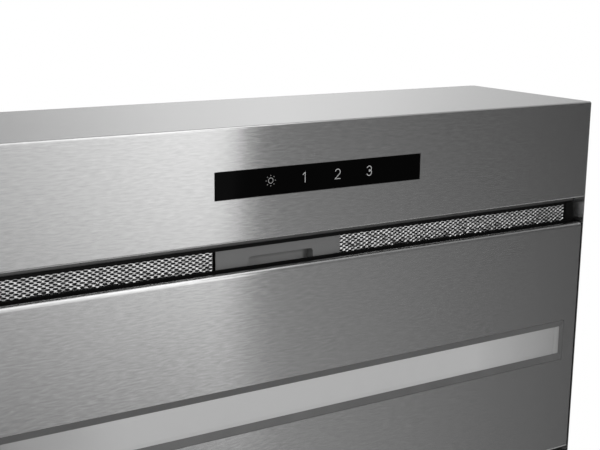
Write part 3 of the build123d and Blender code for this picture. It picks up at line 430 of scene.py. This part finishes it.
# Face of the glass with its ground edge, then its back
glass_layers = [
    (0.55 * MM, UNDERSIDE + GLASS_RECESS),
    (0.25 * MM, UNDERSIDE + GLASS_RECESS + 0.08 * MM),
    (0.08 * MM, UNDERSIDE + GLASS_RECESS + 0.25 * MM),
    (0.0, UNDERSIDE + GLASS_RECESS + 0.55 * MM),
    (0.0, glass_high[2]),
]
glass_plate = layered_plate(glass_centre, glass_size, GLASS_CORNER, glass_layers)
touch_lens = add_mesh("touch_lens", *glass_plate, "black_glass")
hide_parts("touch_glass")
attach(touch_lens, "casing")

STROKE = 0.76 * MM
DIGIT_HEIGHT = 10.8 * MM
SYMBOL_LIFT = 0.8 * MM        # symbols sit this far in front of the glass's middle
SYMBOL_FACE = 0.03 * MM       # face of the symbols above the underside
SYMBOL_SINK = 0.01 * MM       # their backs reach this far into the glass


def arc(centre, radius, start, end, steps=22):
    """2-D points along an arc, its start and end in degrees."""
    turns = [math.radians(start + (end - start) * i / steps) for i in range(steps + 1)]
    return [(centre[0] + radius * math.cos(a), centre[1] + radius * math.sin(a)) for a in turns]


def ribbon(points, width, closed=False):
    """Flat closed band of the given width along 2-D points, with a little thickness."""
    count = len(points)
    sides = []
    for i, point in enumerate(points):
        before = points[i - 1] if i or closed else points[i]
        after = points[(i + 1) % count] if i + 1 < count or closed else points[i]
        first = Vector((point[0] - before[0], point[1] - before[1]))
        second = Vector((after[0] - point[0], after[1] - point[1]))
        first = first.normalized() if first.length else second.normalized()
        second = second.normalized() if second.length else first
        along = (first + second).normalized()
        across = Vector((-along.y, along.x))
        reach = width / 2 / max(0.5, across.dot(Vector((-first.y, first.x))))
        sides.append((Vector(point) + across * reach, Vector(point) - across * reach))
    flat, faces = [], []
    for z in (0.0, 1.0):
        for left, right in sides:
            flat += [(left.x, left.y, z), (right.x, right.y, z)]
    top = 2 * count
    runs = count if closed else count - 1
    for i in range(runs):
        a, b = 2 * i, 2 * ((i + 1) % count)
        faces.append((a, a + 1, b + 1, b))
        faces.append((top + a, top + b, top + b + 1, top + a + 1))
        faces.append((a, b, top + b, top + a))
        faces.append((a + 1, top + a + 1, top + b + 1, b + 1))
    if not closed:
        end = 2 * (count - 1)
        faces.append((0, top, top + 1, 1))
        faces.append((end, end + 1, top + end + 1, top + end))
    return flat, faces


# Strokes of the numerals, each about X 0 with its foot at Y 0
H = DIGIT_HEIGHT
symbol_strokes = {
    "1": [[(-2.7 * MM, H - 2.6 * MM), (0.0, H - STROKE / 2), (0.0, 0.0)]],
    "2": [
        arc((0.0, H - 3.5 * MM), 3.1 * MM, 165.0, -38.0)
        + [(-3.2 * MM, STROKE / 2)]
        + [(3.5 * MM, STROKE / 2)]
    ],
    "3": [
        arc((0.0, H - 3.25 * MM), 2.85 * MM, 160.0, -90.0)
        + arc((0.0, 3.3 * MM), 3.0 * MM, 90.0, -160.0)
    ],
}
SYMBOL_X = {"1": -21.7 * MM, "2": 18.0 * MM, "3": 57.8 * MM}
SUN_X = -62.2 * MM
SUN_RING = 2.7 * MM
SUN_REACH = 4.95 * MM
SUN_STROKE = 0.42 * MM
SUN_DOT = 0.65 * MM
symbol_parts = []


def place_symbol(part, centre_x, foot):
    """Turn a flat shape to face down, its top towards the front, just under the glass."""
    points, faces = part
    heights = {0.0: UNDERSIDE + GLASS_RECESS + SYMBOL_SINK, 1.0: UNDERSIDE + SYMBOL_FACE}
    placed = [
        (glass_centre[0] + centre_x + u, glass_centre[1] + foot - SYMBOL_LIFT - v, heights[w])
        for u, v, w in points
    ]
    return placed, faces


for digit, strokes in symbol_strokes.items():
    for stroke in strokes:
        symbol_parts.append(place_symbol(ribbon(stroke, STROKE), SYMBOL_X[digit], H / 2))
RING_STEPS = 48
ring = arc((0.0, 0.0), SUN_RING, 0.0, 360.0 * (RING_STEPS - 1) / RING_STEPS, RING_STEPS - 1)
symbol_parts.append(place_symbol(ribbon(ring, SUN_STROKE, True), SUN_X, 0.0))
SUN_RAYS = 8
for ray in range(SUN_RAYS):
    angle = math.radians(360.0 / SUN_RAYS * ray)
    dot = (SUN_REACH * math.cos(angle), SUN_REACH * math.sin(angle))
    tip = (dot[0] + SUN_DOT * math.cos(angle), dot[1] + SUN_DOT * math.sin(angle))
    symbol_parts.append(place_symbol(ribbon([dot, tip], SUN_DOT), SUN_X, 0.0))
touch_symbols = add_mesh("touch_symbols", *join_parts(symbol_parts), "lit_symbol")
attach(touch_symbols, "casing")

# Expanded metal of the filter ---------------------------------------------------------------------
CELL = (7.5 * MM, 4.3 * MM)
SHEET_THICK = 0.35 * MM
BOND_WIDTH, BOND_TILT = 2.0 * MM, math.radians(-9.0)
STRAND_WIDTH, STRAND_TILT = 0.55 * MM, math.radians(-68.0)
TILT_SPREAD = math.radians(16.0)
SHORTEST_RUN = 0.2 * MM       # between a cut end and the next stop of a strand
FIRST_ROW = 0.4 * MM          # from the sheet's front edge to its first strand
press = random.Random(5)


def strand_corners(width, tilt):
    """Corners of a strand's cross-section about its middle, turned by the tilt."""
    corners = []
    for sy, sz in ((-1, -1), (1, -1), (1, 1), (-1, 1)):
        wide, thick = sy * width / 2, sz * SHEET_THICK / 2
        along_y = wide * math.cos(tilt) - thick * math.sin(tilt)
        along_z = wide * math.sin(tilt) + thick * math.cos(tilt)
        corners.append((along_y, along_z))
    return corners


def strand_run(row, x_from, x_to, y_from, z_mid):
    """One zigzag strand of the expanded sheet along X, wide and flat at the bonds, twisted between."""
    half_x, half_y = CELL[0] / 2, CELL[1] / 2

    def height_at(x):
        step = x / half_x
        whole = math.floor(step)
        start = (whole + row) % 2
        return y_from + half_y * (row + start + (step - whole) * (1 - 2 * start))

    quarter = half_x / 2
    stops = [x_from]
    for count in range(math.floor(x_from / quarter), math.ceil(x_to / quarter) + 1):
        if x_from + SHORTEST_RUN < count * quarter < x_to - SHORTEST_RUN:
            stops.append(count * quarter)
    stops.append(x_to)
    points, faces = [], []
    for x in stops:
        y = height_at(x)
        twist = 2 * abs(x / half_x - round(x / half_x))
        width = BOND_WIDTH + (STRAND_WIDTH - BOND_WIDTH) * twist
        tilt = BOND_TILT + (STRAND_TILT - BOND_TILT) * twist
        tilt += press.uniform(-TILT_SPREAD, TILT_SPREAD)
        points += [(x, y + dy, z_mid + dz) for dy, dz in strand_corners(width, tilt)]
    for i in range(len(stops) - 1):
        for k in range(4):
            a, b = 4 * i + k, 4 * i + (k + 1) % 4
            faces.append((a, a + 4, b + 4, b))
    end = 4 * (len(stops) - 1)
    faces.append((0, 1, 2, 3))
    faces.append((end + 3, end + 2, end + 1, end))
    return points, faces


# Gaps between the handle plate and the cut strands around it
GAP_LEFT, GAP_RIGHT, GAP_REAR = 3.3 * MM, 0.3 * MM, 0.2 * MM
cut_left = handle_low[0] - GAP_LEFT
cut_right = handle_high[0] + GAP_RIGHT
cut_rear = handle_high[1] + GAP_REAR
strand_parts = []
mesh_mid_z = (mesh_low[2] + mesh_high[2]) / 2
rows = int((mesh_high[1] - mesh_low[1]) / (CELL[1] / 2)) - 1
first_row_y = mesh_low[1] + FIRST_ROW
for row in range(rows):
    row_y = first_row_y + row * CELL[1] / 2
    if row_y < cut_rear:
        runs = ((mesh_low[0], cut_left), (cut_right, mesh_high[0]))
    else:
        runs = ((mesh_low[0], mesh_high[0]),)
    for x_from, x_to in runs:
        strand_parts.append(strand_run(row, x_from, x_to, first_row_y, mesh_mid_z))
filter_strands = add_mesh("filter_strands", *join_parts(strand_parts), "filter_mesh")
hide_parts("filter_mesh_lower")
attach(filter_strands, "casing")

# Light lens ---------------------------------------------------------------------------------------
lens_centre, lens_size = plan_of(lens_low, lens_high)
LENS_HIDDEN = 2.0 * MM        # rim behind the bezel
LENS_CAP = 8.0 * MM           # end caps, beyond the lamps
LENS_GAP = 0.4 * MM           # taken off the length of each cap, for its joint
LENS_CORNER = 1.5 * MM
CROWN = 0.5 * MM
end_size = LENS_HIDDEN + LENS_CAP
lens_parts = []
for centre_x, size_x, crown_inset in (
    (lens_centre[0], lens_size[0] - 2 * end_size, 6.0 * MM),
    (lens_centre[0] - (lens_size[0] - end_size) / 2, end_size - LENS_GAP, 3.0 * MM),
    (lens_centre[0] + (lens_size[0] - end_size) / 2, end_size - LENS_GAP, 3.0 * MM),
):
    # Flat face of the crown, its slopes, the moulded edge, then the back
    layers = [
        (crown_inset, lens_low[2] - CROWN),
        (2.4 * MM, lens_low[2] - 0.4 * CROWN),
        (0.6 * MM, lens_low[2] + 0.02 * MM),
        (0.0, lens_low[2] + 0.3 * MM),
        (0.0, lens_high[2]),
    ]
    centre, size = (centre_x, lens_centre[1]), (size_x, lens_size[1])
    lens_parts.append(layered_plate(centre, size, LENS_CORNER, layers))
light_lens = add_mesh("light_lens", *join_parts(lens_parts), "lens_white")
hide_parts("light_diffuser")
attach(light_lens, "suction_panel")

# Latch springs ------------------------------------------------------------------------------------
WIRE = 0.25 * MM
COIL_TURNS = 6
END_TURN = 0.8                # part of the first and of the last turn that lies closed up
TURN_STEPS = 20
WIRE_SIDES = 6
spring_length = spring_high[1] - spring_low[1]


def coil_spring(centre_x):
    """Helical spring along Y between the slider and its cover, closed up at its ends.

    There it rises by one wire diameter per turn.
    """
    middle_z = (spring_low[2] + spring_high[2]) / 2
    coil = (spring_high[2] - spring_low[2]) / 2 - WIRE
    start, length = spring_low[1] + WIRE, spring_length - 2 * WIRE
    points, faces = [], []
    steps = COIL_TURNS * TURN_STEPS
    for step in range(steps + 1):
        turn = step / TURN_STEPS
        open_share = min(1.0, max(0.0, (turn - END_TURN) / (COIL_TURNS - 2 * END_TURN)))
        closed_turns = min(turn, 1.0) + max(0.0, turn - COIL_TURNS + 1.0)
        y = start + open_share * (length - 4 * WIRE) + 2 * WIRE * closed_turns
        angle = 2 * math.pi * turn
        outward = Vector((math.cos(angle), 0.0, math.sin(angle)))
        middle = Vector((centre_x, y, middle_z)) + coil * outward
        for side in range(WIRE_SIDES):
            around = 2 * math.pi * side / WIRE_SIDES
            spoke = math.cos(around) * outward + Vector((0.0, math.sin(around), 0.0))
            points.append(middle + WIRE * spoke)
    for step in range(steps):
        for side in range(WIRE_SIDES):
            a, b = step * WIRE_SIDES + side, step * WIRE_SIDES + (side + 1) % WIRE_SIDES
            faces.append((a, b, b + WIRE_SIDES, a + WIRE_SIDES))
    faces.append(tuple(reversed(range(WIRE_SIDES))))
    faces.append(tuple(range(steps * WIRE_SIDES, (steps + 1) * WIRE_SIDES)))
    return points, faces


coil_reach = (spring_high[2] - spring_low[2]) / 2
spring_parts = [coil_spring(spring_low[0] + coil_reach), coil_spring(spring_high[0] - coil_reach)]
coil_springs = add_mesh("coil_springs", *join_parts(spring_parts), "bright_steel", smooth=True)
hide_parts("latch_springs")
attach(coil_springs, "casing")
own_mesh(coil_springs)

# Camera -------------------------------------------------------------------------------------------
CAMERA_PLACE = Vector((-0.613750, -0.400135, -1.156208))
CAMERA_RIGHT = Vector((0.8497044, -0.0104983, -0.5271549))
CAMERA_UP = Vector((0.1080957, -0.9750965, 0.1936549))
FOCAL_LENGTH = 66.69          # for a 36 mm wide sensor
camera_data = bpy.data.cameras.new("camera")
camera_data.sensor_width = 36.0
camera_data.lens = FOCAL_LENGTH
camera_data.clip_start = 0.01
camera = bpy.data.objects.new("camera", camera_data)
scene.collection.objects.link(camera)
camera_turn = Matrix((CAMERA_RIGHT, CAMERA_UP, CAMERA_RIGHT.cross(CAMERA_UP))).transposed()
camera.matrix_world = Matrix.Translation(CAMERA_PLACE) @ camera_turn.to_4x4()
scene.camera = camera


# Studio -------------------------------------------------------------------------------------------
def studio_board(name, points, glow):
    """Soft light board: a flat emitter that the camera itself doesn't see. glow sets its strength."""
    mesh = bpy.data.meshes.new(name)
    mesh.from_pydata(points, [], [(0, 1, 2, 3)])
    board = bpy.data.objects.new(name, mesh)
    material = bpy.data.materials.new(name)
    material.use_nodes = True
    tree = material.node_tree
    tree.nodes.clear()
    output = tree.nodes.new("ShaderNodeOutputMaterial")
    emitter = tree.nodes.new("ShaderNodeEmission")
    tree.links.new(emitter.outputs[0], output.inputs["Surface"])
    glow(tree, emitter)
    mesh.materials.append(material)
    scene.collection.objects.link(board)
    board.visible_camera = False
    board.visible_shadow = False


def level_area(near_x, far_x, y_range, z):
    """Corners of a level board, whose X limits may differ at its near and far edges."""
    near = [(x, y_range[0], z) for x in near_x]
    far = [(x, y_range[1], z) for x in reversed(far_x)]
    return near + far


def upright_area(x_range, y, z_range):
    low = [(x, y, z_range[0]) for x in x_range]
    high = [(x, y, z_range[1]) for x in reversed(x_range)]
    return low + high


def curve_along_x(stops, front=(0.0, 1.0), back=(1.0, 1.0)):
    """Strength of a board: a curve along X of (x, strength) stops, times a ramp along Y.

    The ramp goes from front to back, both (y, factor).
    """

    def build(tree, emitter):
        place = tree.nodes.new("ShaderNodeTexCoord").outputs["Object"]
        split = tree.nodes.new("ShaderNodeSeparateXYZ")
        tree.links.new(place, split.inputs[0])
        reach = tree.nodes.new("ShaderNodeMapRange")
        tree.links.new(split.outputs["X"], reach.inputs["Value"])
        reach.inputs["From Min"].default_value = stops[0][0]
        reach.inputs["From Max"].default_value = stops[-1][0]
        ramp = tree.nodes.new("ShaderNodeValToRGB")
        tree.links.new(reach.outputs[0], ramp.inputs[0])
        ramp.color_ramp.interpolation = "LINEAR"
        while len(ramp.color_ramp.elements) < len(stops):
            ramp.color_ramp.elements.new(0.5)
        top = max(strength for _, strength in stops)
        length = stops[-1][0] - stops[0][0]
        for element, (x, strength) in zip(ramp.color_ramp.elements, stops):
            element.position = (x - stops[0][0]) / length
            element.color = grey(strength / top)
        tree.links.new(ramp.outputs[0], emitter.inputs["Color"])
        depth = tree.nodes.new("ShaderNodeMapRange")
        tree.links.new(split.outputs["Y"], depth.inputs["Value"])
        depth.inputs["From Min"].default_value = front[0]
        depth.inputs["From Max"].default_value = back[0]
        depth.inputs["To Min"].default_value = top * front[1]
        depth.inputs["To Max"].default_value = top * back[1]
        tree.links.new(depth.outputs[0], emitter.inputs["Strength"])

    return build


# The boards below the hood meet at a slanted edge, which makes the change of tone across the steel
BOARD_Z = -1.5
BOARD_Y = (-1.6, 2.2)
BRIGHT_FROM_X = -1.2
SHADE_TO_X = 2.6
SHADE_X = 0.606
SHADE_Y = -0.04               # where the edge passes SHADE_X
SHADE_LEAN = -0.076           # its slope, X per Y
edge_near, edge_far = [SHADE_X + SHADE_LEAN * (y - SHADE_Y) for y in BOARD_Y]
bright_stops = ((BRIGHT_FROM_X, 0.42), (0.05, 0.72), (0.34, 1.02), (SHADE_X, 1.23))
bright_area = level_area((BRIGHT_FROM_X, edge_near), (BRIGHT_FROM_X, edge_far), BOARD_Y, BOARD_Z)
studio_board("bright_board", bright_area, curve_along_x(bright_stops, (-0.1, 1.3), (0.65, 0.25)))
shade_stops = ((SHADE_X, 0.34), (1.22, 0.22), (1.9, 0.10), (SHADE_TO_X, 0.08))
shade_area = level_area((edge_near, SHADE_TO_X), (edge_far, SHADE_TO_X), BOARD_Y, BOARD_Z)
studio_board("shade_board", shade_area, curve_along_x(shade_stops, (0.0, 0.75), (0.3, 1.12)))
HIGH_X = (-0.8, 3.4)
HIGH_Y = (-2.2, 0.1)
HIGH_Z = 2.0
high_stops = (
    (HIGH_X[0], 0.35),
    (0.32, 0.58),
    (0.57, 0.73),
    (0.91, 0.95),
    (1.30, 1.07),
    (1.70, 1.00),
    (2.14, 0.80),
    (HIGH_X[1], 0.44),
)
high_area = level_area(HIGH_X, HIGH_X, HIGH_Y, HIGH_Z)
studio_board("high_board", high_area, curve_along_x(high_stops))
FRONT_X = (-1.5, 2.2)
FRONT_Y = -1.6
FRONT_Z = (-1.5, -0.15)
front_stops = (
    (FRONT_X[0], 1.0),
    (0.2, 1.6),
    (0.6, 2.0),
    (0.75, 1.6),
    (0.95, 0.6),
    (1.3, 0.42),
    (FRONT_X[1], 0.35),
)
front_area = upright_area(FRONT_X, FRONT_Y, FRONT_Z)
studio_board("front_board", front_area, curve_along_x(front_stops))

floor_mesh = bpy.data.meshes.new("floor")
FLOOR_Z = -1.75
REACH = (-60.0, 60.0)
floor_mesh.from_pydata(level_area(REACH, REACH, REACH, FLOOR_Z), [], [(0, 1, 2, 3)])
floor = bpy.data.objects.new("floor", floor_mesh)
floor_surface = Surface(
    "floor_pale", grey(0.8), roughness=0.7, Emission_Color=grey(1.0), Emission_Strength=0.3
)
floor_mesh.materials.append(floor_surface.material)
scene.collection.objects.link(floor)

# The camera sees plain white, everything else a grey sky that is paler at its horizon
world = bpy.data.worlds.new("studio")
scene.world = world
world.use_nodes = True
tree = world.node_tree
tree.nodes.clear()
world_out = tree.nodes.new("ShaderNodeOutputWorld")
seen = tree.nodes.new("ShaderNodeBackground")
seen.inputs["Color"].default_value = grey(1.0)
light = tree.nodes.new("ShaderNodeBackground")
sky_place = tree.nodes.new("ShaderNodeTexCoord").outputs["Generated"]
sky_split = tree.nodes.new("ShaderNodeSeparateXYZ")
tree.links.new(sky_place, sky_split.inputs[0])
height = tree.nodes.new("ShaderNodeMath")
height.operation = "ABSOLUTE"
tree.links.new(sky_split.outputs["Z"], height.inputs[0])
SKY_STOPS = ((0.25, 0.62), (0.6, 0.25))   # height above or below the horizon, and brightness
sky_ramp = tree.nodes.new("ShaderNodeValToRGB")
tree.links.new(height.outputs[0], sky_ramp.inputs[0])
for element, (position, brightness) in zip(sky_ramp.color_ramp.elements, SKY_STOPS):
    element.position = position
    element.color = grey(brightness)
tree.links.new(sky_ramp.outputs[0], light.inputs["Color"])
ray = tree.nodes.new("ShaderNodeLightPath")
choose = tree.nodes.new("ShaderNodeMixShader")
tree.links.new(ray.outputs["Is Camera Ray"], choose.inputs[0])
tree.links.new(light.outputs[0], choose.inputs[1])
tree.links.new(seen.outputs[0], choose.inputs[2])
tree.links.new(choose.outputs[0], world_out.inputs["Surface"])
